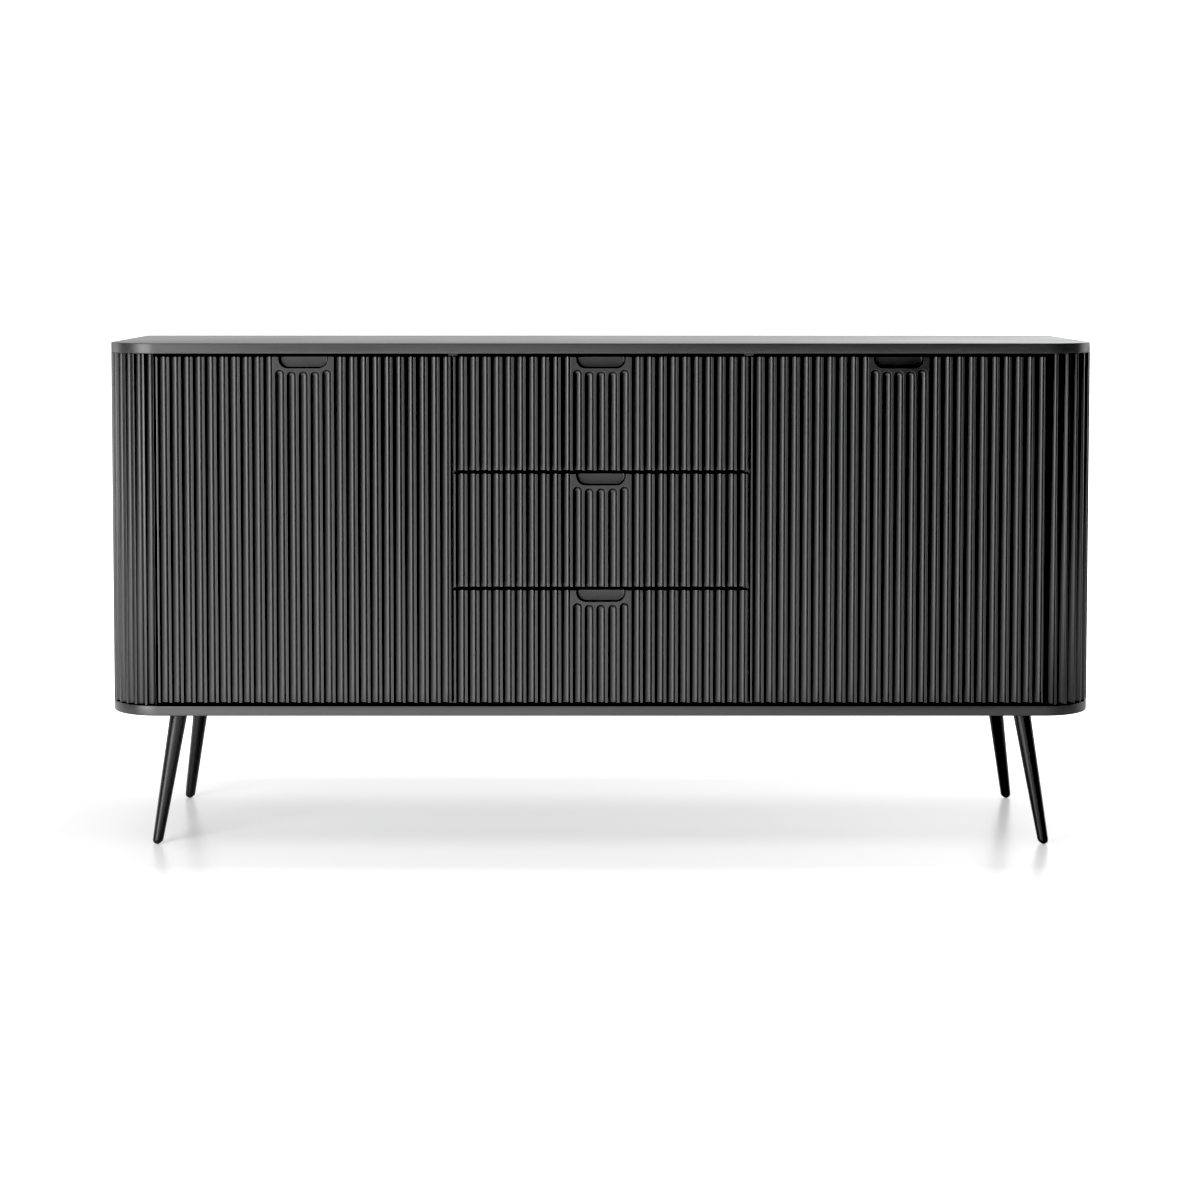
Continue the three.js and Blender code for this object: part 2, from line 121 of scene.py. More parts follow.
# ---- materials ----
class Nodes:
    """A material's node tree, with short ways to add and join nodes."""

    def __init__(self, name):
        self.material = bpy.data.materials.new(name)
        self.material.use_nodes = True
        self.tree = self.material.node_tree
        self.shader = self.tree.nodes["Principled BSDF"]

    def add(self, kind, **settings):
        node = self.tree.nodes.new(kind)
        for key, value in settings.items():
            setattr(node, key, value)
        return node

    def join(self, source, target):
        self.tree.links.new(source, target)

    def texture_place(self, scale):
        """Object coordinates, stretched by scale along each axis."""
        place = self.add("ShaderNodeTexCoord")
        mapping = self.add("ShaderNodeMapping")
        mapping.inputs["Scale"].default_value = scale
        self.join(place.outputs["Object"], mapping.inputs["Vector"])
        return mapping.outputs["Vector"]

    def noise(self, scale, detail=3.0, rough=0.55, stretch=(1, 1, 1)):
        node = self.add("ShaderNodeTexNoise")
        node.inputs["Scale"].default_value = scale
        node.inputs["Detail"].default_value = detail
        node.inputs["Roughness"].default_value = rough
        self.join(self.texture_place(stretch), node.inputs["Vector"])
        return node.outputs["Fac"]

    def ramp(self, value, stops):
        """Colours over a value: stops are (place, grey or rgb)."""
        node = self.add("ShaderNodeValToRGB")
        elements = node.color_ramp.elements
        while len(elements) < len(stops):
            elements.new(0.5)
        for element, (place, colour) in zip(elements, stops):
            rgb = (colour,) * 3 if isinstance(colour, (int, float)) else colour
            element.position = place
            element.color = (*rgb, 1)
        self.join(value, node.inputs["Fac"])
        return node.outputs["Color"]

    def spread(self, value, low, high, from_low=0.3, from_high=0.7):
        """A value's middle range, stretched to low..high."""
        node = self.add("ShaderNodeMapRange")
        node.inputs["From Min"].default_value = from_low
        node.inputs["From Max"].default_value = from_high
        node.inputs["To Min"].default_value = low
        node.inputs["To Max"].default_value = high
        self.join(value, node.inputs["Value"])
        return node.outputs["Result"]

    def calculate(self, operation, first, second):
        node = self.add("ShaderNodeMath", operation=operation)
        for source, socket in ((first, node.inputs[0]), (second, node.inputs[1])):
            if isinstance(source, (float, int)):
                socket.default_value = source
            else:
                self.join(source, socket)
        return node.outputs["Value"]

    def multiply(self, first, second):
        return self.calculate("MULTIPLY", first, second)

    def beyond(self, value, limit):
        """How far a value lies outside -limit..limit."""
        size = self.calculate("ABSOLUTE", value, 0.0)
        return self.calculate("MAXIMUM", self.calculate("SUBTRACT", size, limit), 0.0)

    def length(self, first, second):
        squares = self.calculate("ADD", self.multiply(first, first), self.multiply(second, second))
        return self.calculate("SQRT", squares, 0.0)

    def mix(self, factor, first, second):
        node = self.add("ShaderNodeMix", data_type="RGBA")
        for source, target in ((factor, 0), (first, 6), (second, 7)):
            if isinstance(source, (tuple, float, int)):
                node.inputs[target].default_value = source
            else:
                self.join(source, node.inputs[target])
        return node.outputs[2]

    def worn_edges(self):
        """1 along sharp edges and 0 elsewhere, broken up by noise."""
        rounded = self.add("ShaderNodeBevel", samples=4)
        rounded.inputs["Radius"].default_value = WEAR_RADIUS
        turn = self.add("ShaderNodeVectorMath", operation="DOT_PRODUCT")
        self.join(rounded.outputs["Normal"], turn.inputs[0])
        self.join(self.add("ShaderNodeNewGeometry").outputs["Normal"], turn.inputs[1])
        edge = self.spread(turn.outputs["Value"], 1, 0, 0.82, 0.98)
        return self.multiply(edge, self.spread(self.noise(38, 4), 0.2, 1, 0.4, 0.62))

    def bump(self, heights):
        """Adds bumps in turn: heights are (value, depth in metres)."""
        normal = None
        for value, distance in heights:
            node = self.add("ShaderNodeBump")
            node.inputs["Strength"].default_value = 1
            node.inputs["Distance"].default_value = distance
            self.join(value, node.inputs["Height"])
            if normal is not None:
                self.join(normal, node.inputs["Normal"])
            normal = node.outputs["Normal"]
        self.join(normal, self.shader.inputs["Normal"])

    def finish(self, colour, roughness, specular=0.5, metallic=0.0):
        self.join(colour, self.shader.inputs["Base Color"])
        self.join(roughness, self.shader.inputs["Roughness"])
        self.shader.inputs["Specular IOR Level"].default_value = specular
        self.shader.inputs["Metallic"].default_value = metallic
        return self.material


def shades(tone, factor):
    """A colour made darker or lighter by a factor."""
    return [value * factor for value in tone]


def stained_wood(name, grain, tone, roughness, specular, grain_depth, figure_scale=9):
    """Black stained and lacquered wood. grain stretches the figure: small along the grain."""
    nodes = Nodes(name)
    figure = nodes.noise(figure_scale, 5, 0.6, grain)
    pores = nodes.noise(figure_scale * 7, 3, 0.7, grain)
    clouds = nodes.noise(3.2, 3)
    body = nodes.ramp(figure, [(0.32, shades(tone, 0.55)), (0.68, shades(tone, 1.45))])
    edged = nodes.mix(nodes.worn_edges(), body, (*shades(tone, 2.5), 1))
    streaks = nodes.spread(figure, roughness - 0.04, roughness + 0.04)
    dullness = nodes.calculate("ADD", streaks, nodes.spread(clouds, -0.03, 0.03))
    nodes.bump([(pores, grain_depth), (nodes.noise(700, 2), grain_depth * 0.12)])
    return nodes.finish(edged, dullness, specular)


def painted_board(name, tone, roughness, specular=0.4, texture=0.04 * MM):
    """Foil-faced board: a fine dull texture with faint scuffs."""
    nodes = Nodes(name)
    specks = nodes.noise(900, 2, 0.6)
    scuffs = nodes.noise(26, 6, 0.75, (1, 1, 2))
    body = nodes.ramp(scuffs, [(0.3, shades(tone, 0.9)), (0.75, shades(tone, 1.16))])
    edged = nodes.mix(nodes.worn_edges(), body, (*shades(tone, 1.8), 1))
    nodes.bump([(specks, texture)])
    return nodes.finish(edged, nodes.spread(scuffs, roughness - 0.02, roughness + 0.03), specular)


def plated_steel(name, tone, roughness, stretch=(1, 1, 1)):
    """Zinc-plated pressed steel with drawing marks and a cloudy plating."""
    nodes = Nodes(name)
    marks = nodes.noise(160, 3, 0.6, stretch)
    clouds = nodes.noise(45, 4, 0.6)
    body = nodes.ramp(clouds, [(0.3, shades(tone, 0.78)), (0.7, tone)])
    nodes.bump([(marks, 0.02 * MM)])
    shine = nodes.spread(marks, roughness - 0.08, roughness + 0.1)
    return nodes.finish(body, shine, specular=0.5, metallic=0.65)


def moulded_plastic(name, tone, roughness):
    """Plastic with a fine grain and a little dust."""
    nodes = Nodes(name)
    grain = nodes.noise(1200, 2, 0.5)
    dust = nodes.noise(30, 4)
    body = nodes.ramp(dust, [(0.35, tone), (0.8, shades(tone, 1.8))])
    nodes.bump([(grain, 0.03 * MM)])
    return nodes.finish(body, nodes.spread(dust, roughness - 0.06, roughness + 0.08), specular=0.4)


# The grain runs along the small number, because it stretches the figure there.
ALONG_X = (0.06, 1, 1)
ALONG_Z = (1, 1, 0.06)
FRONT_BLACK = (0.0085, 0.0085, 0.0088)
CASE_BLACK = (0.014, 0.014, 0.0145)
LEG_BLACK = (0.006, 0.006, 0.0062)
MATERIALS = {
    "front": stained_wood("front_lacquer_look", ALONG_Z, FRONT_BLACK, 0.37, 0.55, 0.006 * MM),
    "case": stained_wood("case_veneer_look", ALONG_X, CASE_BLACK, 0.36, 0.6, 0.04 * MM, 40),
    "leg": stained_wood("leg_lacquer_look", ALONG_Z, LEG_BLACK, 0.36, 0.4, 0.01 * MM),
    "inner": painted_board("inner_board_look", (0.12, 0.12, 0.122), 0.55),
    "drawer": painted_board("drawer_board_look", (0.13, 0.13, 0.133), 0.5),
    "back": painted_board("back_board_look", (0.06, 0.06, 0.061), 0.68, 0.3, 0.07 * MM),
    "steel": plated_steel("zinc_steel_look", (0.55, 0.56, 0.57), 0.42),
    "runner": plated_steel("runner_steel_look", (0.58, 0.59, 0.61), 0.3, (1, 0.03, 1)),
    "screw": plated_steel("screw_steel_look", (0.5, 0.5, 0.52), 0.28),
    "nylon": moulded_plastic("black_nylon_look", (0.012, 0.012, 0.013), 0.55),
    "clear": moulded_plastic("bumper_plastic_look", (0.35, 0.35, 0.34), 0.4),
}


# ---- mesh helpers ----
def solid_mesh(name, vertices, faces):
    """A mesh whose faces all look outwards."""
    mesh = bpy.data.meshes.new(name)
    mesh.from_pydata([tuple(map(float, v)) for v in vertices], [], faces)
    mesh.validate()
    work = bmesh.new()
    work.from_mesh(mesh)
    bmesh.ops.recalc_face_normals(work, faces=work.faces)
    work.to_mesh(mesh)
    work.free()
    return mesh


def make_piece(name, vertices, faces, material, body, replaces=(), sharp=40):
    """A finished piece that rides a body. sharp is the angle beyond which an edge stays crisp."""
    mesh = solid_mesh(name, vertices, faces)
    mesh.polygons.foreach_set("use_smooth", [True] * len(mesh.polygons))
    mesh.set_sharp_from_angle(angle=math.radians(sharp))
    mesh.materials.append(MATERIALS[material])
    piece = bpy.data.objects.new(name, mesh)
    bpy.context.scene.collection.objects.link(piece)
    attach(piece, body)
    if replaces:
        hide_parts(*replaces)
    return piece


def loft(rings):
    """Faces of a closed tube through equal rings, with a flat face at each end."""
    count = len(rings[0])
    faces = []
    for ring in range(len(rings) - 1):
        for i in range(count):
            j = (i + 1) % count
            base = ring * count
            faces.append((base + i, base + j, base + count + j, base + count + i))
    faces.append(tuple(range(count)))
    last = (len(rings) - 1) * count
    faces.append(tuple(last + i for i in range(count)))
    return np.concatenate(rings), faces


def outward(outline):
    """Mitred outward normals of a closed anticlockwise outline."""
    before = outline - np.roll(outline, 1, axis=0)
    after = np.roll(outline, -1, axis=0) - outline
    sides = []
    for edge in (before, after):
        normal = np.stack([edge[:, 1], -edge[:, 0]], axis=1)
        sides.append(normal / np.linalg.norm(normal, axis=1, keepdims=True))
    total = sides[0] + sides[1]
    return total / np.maximum(1 + (sides[0] * sides[1]).sum(1), 0.3)[:, None]


def slab(outline, low_z, high_z, edge, steps=4):
    """Rings of a flat board whose rim is rounded above and below."""
    normals = outward(outline)
    angles = np.linspace(math.pi / 2, 0, steps + 1)
    lower = [(low_z + edge * (1 - math.sin(turn)), edge * (1 - math.cos(turn))) for turn in angles]
    upper = [(low_z + high_z - z, inset) for z, inset in lower[::-1]]
    rings = []
    for z, inset in lower + upper:
        rings.append(np.column_stack([outline - normals * inset, np.full(len(outline), z)]))
    return rings


def arc(centre, radius, start, end, steps):
    """Points of an arc, angles in degrees."""
    angles = np.radians(np.linspace(start, end, steps + 1))
    return np.stack([centre[0] + radius * np.cos(angles), centre[1] + radius * np.sin(angles)], axis=1)


# ---- fluting ----
def groove_depth(distance):
    """Depth of a groove below the face, at a distance from its middle line."""
    across = np.abs(distance)
    hollow = np.sqrt(np.maximum(GROOVE_RADIUS**2 - across**2, 0)) - GROOVE_AXIS
    rest = np.clip(GROOVE_REACH - across, 0, GROOVE_EDGE)
    arris = GROOVE_EDGE - np.sqrt(GROOVE_EDGE**2 - rest**2)
    return np.where(across >= GROOVE_TANGENT, np.where(across >= GROOVE_REACH, 0, arris), hollow)


def groove_offsets(hollow_steps=14, arris_steps=5):
    """Distances from a groove's middle at which its section is sampled."""
    hollow_angle = math.asin(GROOVE_TANGENT / GROOVE_RADIUS)
    hollow = GROOVE_RADIUS * np.sin(np.linspace(0, hollow_angle, hollow_steps // 2 + 1))
    arris_angle = math.asin((GROOVE_REACH - GROOVE_TANGENT) / GROOVE_EDGE)
    arris = GROOVE_REACH - GROOVE_EDGE * np.sin(np.linspace(arris_angle, 0, arris_steps + 1)[1:])
    half = np.concatenate([hollow, arris, [GROOVE_REACH + 0.2 * MM]])
    return np.concatenate([-half[:0:-1], half])


def merged(places, closest):
    """Sorted places with near doubles dropped."""
    kept = []
    for place in sorted(places):
        if not kept or place - kept[-1] > closest:
            kept.append(place)
    return np.array(kept)


def rim_steps(edge, steps=4):
    """Distances in from a rounded rim at which its section is sampled."""
    angles = np.linspace(0, math.pi / 2, steps + 1)
    return edge * (1 - np.cos(angles))


def rim_offset(distance, edge):
    """How far a rounded rim lies behind the face, at a distance in from the edge."""
    rest = np.clip(edge - distance, 0, edge)
    return edge - np.sqrt(edge**2 - rest**2)


def scoop_depth(across, down):
    """Depth of the finger scoop, across from its middle and down from the top edge."""
    side = np.abs(across)
    corner_x = SCOOP_WIDTH / 2 - SCOOP_CORNER
    corner_down = SCOOP_HEIGHT - SCOOP_CORNER
    straight = np.minimum(SCOOP_WIDTH / 2 - side, SCOOP_HEIGHT - down)
    rounded = SCOOP_CORNER - np.hypot(side - corner_x, down - corner_down)
    inside = np.where((side > corner_x) & (down > corner_down), rounded, straight)
    arris = SCOOP_EDGE - np.sqrt(SCOOP_EDGE**2 - np.clip(inside + SCOOP_EDGE, 0, SCOOP_EDGE) ** 2)
    sideways = np.where(down > corner_down, np.clip((side - corner_x) / SCOOP_CORNER, 0, 1), 1)
    reach = SCOOP_LOWER_FOOT + (SCOOP_SIDE_FOOT - SCOOP_LOWER_FOOT) * sideways**2
    foot = np.clip(inside / reach, 0, 1)
    deep = SCOOP_DEPTH - SCOOP_BOW * (down / SCOOP_HEIGHT) ** 2
    wall = SCOOP_EDGE + (deep - SCOOP_EDGE) * np.sqrt(1 - (1 - foot) ** 2)
    return np.where(inside <= 0, arris, wall)


def front_columns(half_width):
    """Places across a front where its surface is sampled."""
    places = list(rim_steps(FRONT_EDGE) - half_width) + list(half_width - rim_steps(FRONT_EDGE))
    for index in range(FLUTES):
        middle = (index - (FLUTES - 1) / 2) * FLUTE_PITCH
        places += list(middle + groove_offsets())
    step = 0.7 * MM
    scoop_side = np.arange(SCOOP_WIDTH / 2 - SCOOP_CORNER, SCOOP_WIDTH / 2 + step, step)
    places += list(scoop_side) + list(-scoop_side)
    return merged(places, SMALLEST_STEP)


def front_rows(height):
    """Places down a front, from its top edge, where its surface is sampled."""
    places = list(rim_steps(FRONT_EDGE)) + list(height - rim_steps(FRONT_EDGE))
    places += list(np.arange(2.2 * MM, SCOOP_HEIGHT + 2 * SURFACE_STEP, SURFACE_STEP))
    places += list(SCOOP_HEIGHT + np.arange(-2 * SURFACE_STEP, SURFACE_STEP, SURFACE_STEP / 3))
    ball = groove_offsets(16)
    for drop in (OUTER_ARCH_DROP, INNER_ARCH_DROP):
        places += [drop + GROOVE_WIDTH / 2 - reach for reach in ball if reach >= 0]
    places += list(np.linspace(0.25, 0.95, 3) * height)
    return merged(places, SMALLEST_STEP)


def front_depths(columns, rows):
    """Depth of the fluted surface below the face, over rows and columns."""
    across, down = np.meshgrid(columns, rows)
    half_width = columns[-1]
    height = rows[-1]
    depth = scoop_depth(across, down)
    middle_flute = (FLUTES - 1) // 2
    for index in range(FLUTES):
        from_middle = across - (index - middle_flute) * FLUTE_PITCH
        rank = abs(index - middle_flute)
        if rank <= ARCHED_FLUTES:
            drop = OUTER_ARCH_DROP if rank == ARCHED_FLUTES else INNER_ARCH_DROP
            above = np.maximum(drop + GROOVE_WIDTH / 2 - down, 0)
            from_middle = np.hypot(from_middle, above)
        depth = np.maximum(depth, groove_depth(from_middle))
    rim = rim_offset(half_width - np.abs(across), FRONT_EDGE)
    rim = rim + rim_offset(np.minimum(down, height - down), FRONT_EDGE)
    return depth + rim


def fluted_front(node, body):
    """A front whose whole face is a grid of sampled depths, closed by four rims and a flat back."""
    low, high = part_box(node)
    columns = front_columns((high.x - low.x) / 2)
    rows = front_rows(high.z - low.z)
    depths = front_depths(columns, rows)
    middle = (low.x + high.x) / 2
    across, down = np.meshgrid(columns, rows)
    face = np.stack([middle + across, low.y + depths, high.z - down], axis=-1).reshape(-1, 3)
    wide, tall = len(columns), len(rows)
    at = np.arange(wide * tall).reshape(tall, wide)
    faces = np.stack([at[:-1, :-1], at[1:, :-1], at[1:, 1:], at[:-1, 1:]], axis=-1)
    faces = [tuple(map(int, quad)) for quad in faces.reshape(-1, 4)]
    back = [(x, high.y, z) for z in (high.z, low.z) for x in (low.x, high.x)]
    top_left, top_right, low_left, low_right = range(wide * tall, wide * tall + 4)
    faces.append((*map(int, at[0]), top_right, top_left))
    faces.append((*map(int, at[-1][::-1]), low_left, low_right))
    faces.append((*map(int, at[::-1, 0]), top_left, low_left))
    faces.append((*map(int, at[:, -1]), low_right, top_right))
    faces.append((top_left, top_right, low_right, low_left))
    vertices = np.concatenate([face, back])
    return make_piece(f"{node}_fluted", vertices, faces, "front", body, [node])


def side_outline(side):
    """Plan of a fluted skin, anticlockwise for the right-hand one."""
    half = cad_high.x
    centre = np.array([half - CORNER_RADIUS, cad_low.y + CORNER_RADIUS])
    offsets = groove_offsets(12)
    offsets = offsets[np.abs(offsets) <= GROOVE_REACH + 0.001 * MM]
    depths = groove_depth(offsets)
    chord = math.sqrt(CORNER_RADIUS**2 - GROOVE_REACH**2)
    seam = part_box("fluted_side_right")[0].x
    points = []
    for index in range(CORNER_FLUTES):
        angle = math.radians(((index + 0.5) / CORNER_FLUTES - 1) * 90)
        normal = np.array([math.cos(angle), math.sin(angle)])
        along = np.array([-normal[1], normal[0]])
        points.append(centre + normal * chord + np.outer(offsets, along) - np.outer(depths, normal))
    pitch = (cad_high.y - centre[1]) / SIDE_FLUTES
    for index in range(SIDE_FLUTES):
        places = centre[1] + (index + 0.5) * pitch + offsets
        points.append(np.column_stack([half - depths, places]))
    inner_angle = -math.degrees(math.acos((seam - centre[0]) / (CORNER_RADIUS - SKIN_THICKNESS)))
    points.append(np.array([[half, cad_high.y], [half - SKIN_THICKNESS, cad_high.y]]))
    points.append(arc(centre, CORNER_RADIUS - SKIN_THICKNESS, 0, inner_angle, 16))
    outline = np.concatenate(points)
    if side < 0:
        outline = (outline * [-1, 1])[::-1]
    return outline


def fluted_side(word, side):
    """The skin round one corner and along the side. side is -1 or +1."""
    node = f"fluted_side_{word}"
    low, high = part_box(node)
    rings = slab(side_outline(side), low.z, high.z, 0.5 * MM, 2)
    vertices, faces = loft(rings)
    make_piece(f"{node}_skin", vertices, faces, "front", "carcass", [node])


# ---- top and bottom ----
def case_panel(node):
    """The top or the bottom board, with round front corners."""
    low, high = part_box(node)
    centre_y = low.y + CORNER_RADIUS
    outline = np.concatenate(
        [
            arc((low.x + CORNER_RADIUS, centre_y), CORNER_RADIUS, 180, 270, 36),
            arc((high.x - CORNER_RADIUS, centre_y), CORNER_RADIUS, 270, 360, 36),
            [[high.x, high.y], [low.x, high.y]],
        ]
    )
    vertices, faces = loft(slab(outline, low.z, high.z, PANEL_EDGE))
    make_piece(f"{node}_board", vertices, faces, "case", "carcass", [node])


# ---- legs ----
def tip_inset(z):
    """How far the domed foot is drawn in at a height above the floor."""
    return rim_offset(z, LEG_TIP_RADIUS)


def leg(place, side_x, side_y):
    """A splayed leg in level slices, round at its tip."""
    node = f"leg_{place}"
    low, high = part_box(node)
    glide_low, glide_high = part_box(f"leg_glide_{place}")
    foot = (glide_low + glide_high) / 2
    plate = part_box(f"leg_plate_{place}")[1].z
    radial = np.array([side_x, side_y]) / math.sqrt(2)
    stretch = math.sqrt(1 + 2 * LEG_SPLAY**2)
    angles = np.linspace(0, 2 * math.pi, 48, endpoint=False)
    circle = np.stack([np.cos(angles), np.sin(angles)], axis=1)
    oval = circle + np.outer(circle @ radial, radial) * (stretch - 1)
    tip = np.linspace(low.z, LEG_TIP_RADIUS * 1.1, 10)
    heights = [*tip, *np.linspace(0.1, 1, 6) * high.z]
    rings = []
    for z in heights:
        radius = LEG_TIP_RADIUS + (LEG_TOP_RADIUS - LEG_TIP_RADIUS) * z / plate
        middle = np.array([foot.x, foot.y]) - np.array([side_x, side_y]) * LEG_SPLAY * z
        rings.append(np.column_stack([middle + oval * (radius - tip_inset(z)), np.full(len(oval), z)]))
    vertices, faces = loft(rings)
    make_piece(f"{node}_turned", vertices, faces, "leg", "carcass", [node])


AXIS_ORDER = {"z": [0, 1, 2], "y": [0, 2, 1], "x": [2, 1, 0]}  # how z is laid along another axis


def turned(profile, at, axis="z", sides=32):
    """Vertices and faces of a solid of revolution: profile is (radius, height) from end to end."""
    angles = np.linspace(0, 2 * math.pi, sides, endpoint=False)
    circle = np.stack([np.cos(angles), np.sin(angles)], axis=1)
    rings = [np.column_stack([circle * radius, np.full(sides, height)]) for radius, height in profile]
    vertices, faces = loft(rings)
    return vertices[:, AXIS_ORDER[axis]] + np.array(at), faces


def glide(place):
    """The nylon pad in a leg's domed tip, 0.2 mm inside the leg's surface."""
    node = f"leg_glide_{place}"
    low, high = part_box(node)
    heights = np.linspace(0.25 * MM, high.z, 8)
    dome = [(LEG_TIP_RADIUS - tip_inset(z) - 0.2 * MM, z) for z in heights]
    sole = (dome[0][0] * 0.8, 0)
    profile = [sole, *dome]
    middle = (low + high) / 2
    vertices, faces = turned(profile, (middle.x, middle.y, low.z))
    make_piece(f"{node}_pad", vertices, faces, "nylon", "carcass", [node])


def rounded_square(centre, half, corner, steps=6):
    """Anticlockwise outline of a square with rounded corners."""
    inner = half - corner
    corners = []
    for start, x, y in ((270, 1, -1), (0, 1, 1), (90, -1, 1), (180, -1, -1)):
        middle = (centre[0] + x * inner, centre[1] + y * inner)
        corners.append(arc(middle, corner, start, start + 90, steps))
    return np.concatenate(corners)


def joined(solids):
    """Several (vertices, faces) as one."""
    vertices, faces, start = [], [], 0
    for points, polygons in solids:
        vertices.append(points)
        faces += [tuple(start + i for i in polygon) for polygon in polygons]
        start += len(points)
    return np.concatenate(vertices), faces


def screw_head(at, axis, way, radius, rise):
    """A pan head with a cross recess, standing out along axis. way is +1 or -1."""
    sides, rings = 32, 7
    angles = np.linspace(0, 2 * math.pi, sides, endpoint=False)
    arms = np.isclose(np.mod(angles + 0.01, math.pi / 2), 0.01, atol=0.02)
    levels = []
    for share in np.linspace(0, 1, rings):
        reach = radius * math.cos(share * math.pi / 2 * 0.93)
        height = np.full(sides, rise * math.sin(share * math.pi / 2))
        if 0.45 < share < 0.99:
            height = np.where(arms, height - 0.7 * MM, height)
        if share >= 0.99:
            height = height - 0.9 * MM
        levels.append(np.column_stack([np.cos(angles) * reach, np.sin(angles) * reach, height]))
    vertices, faces = loft(levels)
    vertices = vertices * [1, 1, way]
    return vertices[:, AXIS_ORDER[axis]] + np.array(at), faces


def screws(name, places, axis, way, body, radius=SCREW_RADIUS, rise=SCREW_RISE):
    """One piece that holds several screw heads."""
    vertices, faces = joined([screw_head(at, axis, way, radius, rise) for at in places])
    make_piece(name, vertices, faces, "screw", body, sharp=30)


def leg_plate(place):
    """The pressed plate above a leg, and its four screws."""
    node = f"leg_plate_{place}"
    low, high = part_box(node)
    centre = ((low.x + high.x) / 2, (low.y + high.y) / 2)
    half = (high.x - low.x) / 2
    corner = 8 * MM
    outline = rounded_square(centre, half, corner)
    vertices, faces = loft(slab(outline, low.z, high.z, 0.8 * MM, 3))
    make_piece(f"{node}_pressing", vertices, faces, "steel", "carcass", [node])
    reach = half - corner
    spots = [(centre[0] + x * reach, centre[1] + y * reach, low.z) for x in (-1, 1) for y in (-1, 1)]
    screws(f"{node}_screws", spots, "z", -1, "carcass")


def legs():
    """All four legs with their glides and plates."""
    for depth_word, side_y in (("front", -1), ("back", 1)):
        for word, side_x in (("left", -1), ("right", 1)):
            place = f"{depth_word}_{word}"
            leg(place, side_x, side_y)
            glide(place)
            leg_plate(place)


# ---- hinges ----
def bore_cups(door, word):
    """Cuts the blind bores for the hinge cups into the back of the door."""
    drills = []
    bore = CUP_RADIUS + 0.3 * MM
    for place in ("lower", "upper"):
        low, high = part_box(f"hinge_cup_{word}_{place}")
        middle = (low + high) / 2
        profile = [(bore, -1 * MM), (bore, high.y - low.y + 10 * MM)]
        drills.append(turned(profile, (middle.x, low.y, middle.z), "y", 48))
    vertices, faces = joined(drills)
    cutter = bpy.data.objects.new("bore_cutter", solid_mesh("bore_cutter", vertices, faces))
    bpy.context.scene.collection.objects.link(cutter)
    cut = door.modifiers.new("bores", "BOOLEAN")
    cut.object = cutter
    cut.operation = "DIFFERENCE"
    cut.solver = "EXACT"
    bpy.context.view_layer.update()
    graph = bpy.context.evaluated_depsgraph_get()
    solid = bpy.data.meshes.new_from_object(door.evaluated_get(graph))
    door.modifiers.clear()
    door.data = solid
    bpy.data.objects.remove(cutter)


def hinge_cup(word, place):
    """The pressed cup, its flange with two ears and its two screws."""
    node = f"hinge_cup_{word}_{place}"
    low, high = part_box(node)
    middle = (low + high) / 2
    back = high.y - 1 * MM
    count = 120
    angles = np.linspace(0, 2 * math.pi, count, endpoint=False)
    circle = np.stack([np.cos(angles), np.sin(angles)], axis=1)
    half_tall = (high.z - low.z) / 2
    reach = half_tall - CUP_EAR
    sideways, upright = np.abs(circle.T)
    along_side = CUP_EAR / np.maximum(sideways, 0.01)
    round_end = reach * upright + np.sqrt(np.maximum(CUP_EAR**2 - (reach * sideways) ** 2, 0))
    bar = np.where(along_side * upright <= reach, along_side, round_end)
    flange = circle * np.maximum(CUP_RADIUS - 0.2 * MM, bar)[:, None]

    def level(shape, y):
        return np.column_stack([shape[:, 0], np.full(count, y), shape[:, 1]])

    mouth = circle * (CUP_RADIUS - CUP_LIP)
    wall = circle * (CUP_RADIUS - 0.4 * MM)
    centre = circle * 0.5 * MM
    rings = [
        level(centre, low.y),
        level(circle * (CUP_RADIUS - 2 * MM), low.y),
        level(wall, low.y + 1.6 * MM),
        level(wall, back),
        level(flange, back),
        level(flange * 0.995, high.y - 0.3 * MM),
        level(flange * 0.98, high.y),
        level(mouth * 1.04, high.y),
        level(mouth, high.y - 0.6 * MM),
        level(mouth, low.y + 3 * MM),
        level(mouth * 0.9, low.y + 1.2 * MM),
        level(centre, low.y + 1.2 * MM),
    ]
    rings = [ring + [middle.x, 0, middle.z] for ring in rings]
    vertices, faces = loft(rings)
    body = f"door_{word}"
    make_piece(f"{node}_pressing", vertices, faces, "steel", body, [node], 35)
    screw_reach = half_tall - CUP_SCREW_INSET
    spots = [(middle.x, high.y, middle.z + sign * screw_reach) for sign in (-1, 1)]
    screws(f"{node}_screws", spots, "y", 1, body, 3 * MM, 1.2 * MM)


def hinge_fittings(word, place, side):
    """Screws of the arm: two through the base plate and two adjusters on the arm."""
    low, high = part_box(f"hinge_arm_{word}_{place}")
    middle_z = (low.z + high.z) / 2
    wall = high.x if side > 0 else low.x
    face = wall - side * HINGE_PLATE
    plate_y = high.y - HINGE_PLATE_BACK
    spots = [(face, plate_y, middle_z + sign * HINGE_PLATE_REACH) for sign in (-1, 1)]
    screws(f"hinge_plate_screws_{word}_{place}", spots, "x", -side, "carcass")
    adjusters = []
    for out, forward in ((12.6 * MM, 12 * MM), (15.4 * MM, 28 * MM)):
        adjusters.append((wall - side * out, high.y - forward, middle_z))
    screws(f"hinge_adjusters_{word}_{place}", adjusters, "x", -side, "carcass", 3.2 * MM, 1.4 * MM)


def doors():
    """Both doors with the parts of their hinges and their bumpers."""
    for word, side in (("left", -1), ("right", 1)):
        door = fluted_front(f"door_{word}", f"door_{word}")
        bore_cups(door, word)
        for place in ("lower", "upper"):
            hinge_cup(word, place)
            hinge_fittings(word, place, side)
        bumpers(f"door_{word}", f"door_{word}", -side)


